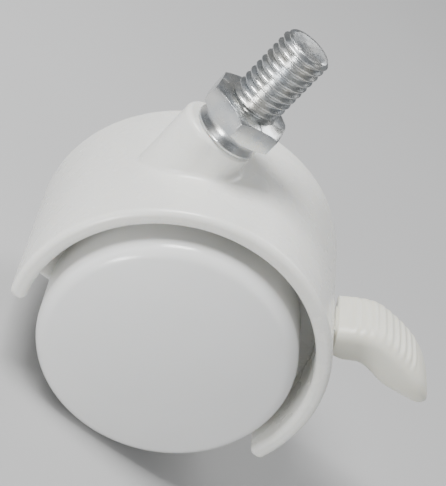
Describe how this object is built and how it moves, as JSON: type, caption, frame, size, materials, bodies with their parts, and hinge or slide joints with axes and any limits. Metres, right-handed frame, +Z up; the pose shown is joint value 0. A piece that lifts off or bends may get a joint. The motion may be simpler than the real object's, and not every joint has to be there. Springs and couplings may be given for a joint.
{
  "type": "twin-wheel stem castor with brake",
  "caption": "Hooded twin-wheel furniture castor with a threaded stem that swivels in the hood and a ribbed brake lever at the rear.",
  "frame": {"origin": "centre of the hexagon's upper face, where the thread of the stem begins", "axes": "+Z up along the stem, +X forward away from the brake lever, +Y left along the axle; the axle is behind and below the origin"},
  "size_m": [0.0842, 0.0478, 0.0831],
  "materials": {
    "plated_steel": "bright zinc plate",
    "spring_steel": "oiled",
    "pin_steel": "drawn",
    "hood_plastic": "moulded gloss",
    "wheel_plastic": "moulded gloss",
    "cap_plastic": "moulded gloss",
    "lever_plastic": "moulded satin"
  },
  "bodies": {
    "stem": {"threaded_stem": "plated_steel", "stem_snap_ring": "spring_steel"},
    "hood": {"hood_body": "hood_plastic", "axle_pin": "pin_steel", "axle_clip_left": "spring_steel", "axle_clip_right": "spring_steel", "brake_pivot_pin": "pin_steel"},
    "left_wheel": {"wheel_left": "wheel_plastic", "wheel_cap_left": "cap_plastic"},
    "right_wheel": {"wheel_right": "wheel_plastic", "wheel_cap_right": "cap_plastic"},
    "lever": {"brake_lever": "lever_plastic", "brake_cross_pin": "pin_steel"}
  },
  "joints": [
    {"name": "swivel", "type": "hinge", "parent": "stem", "child": "hood", "pos_m": [0, 0, 0], "axis": [0, 0, 1], "continuous": true},
    {"name": "wheel_left_spin", "type": "hinge", "parent": "hood", "child": "left_wheel", "pos_m": [-0.016, 0.015, -0.0426], "axis": [0, 1, 0], "continuous": true},
    {"name": "wheel_right_spin", "type": "hinge", "parent": "hood", "child": "right_wheel", "pos_m": [-0.016, -0.015, -0.0426], "axis": [0, 1, 0], "continuous": true},
    {"name": "brake", "type": "hinge", "parent": "hood", "child": "lever", "pos_m": [-0.036, 0, -0.0336], "axis": [0, 1, 0], "range_deg": [-12, 0]}
  ]
}
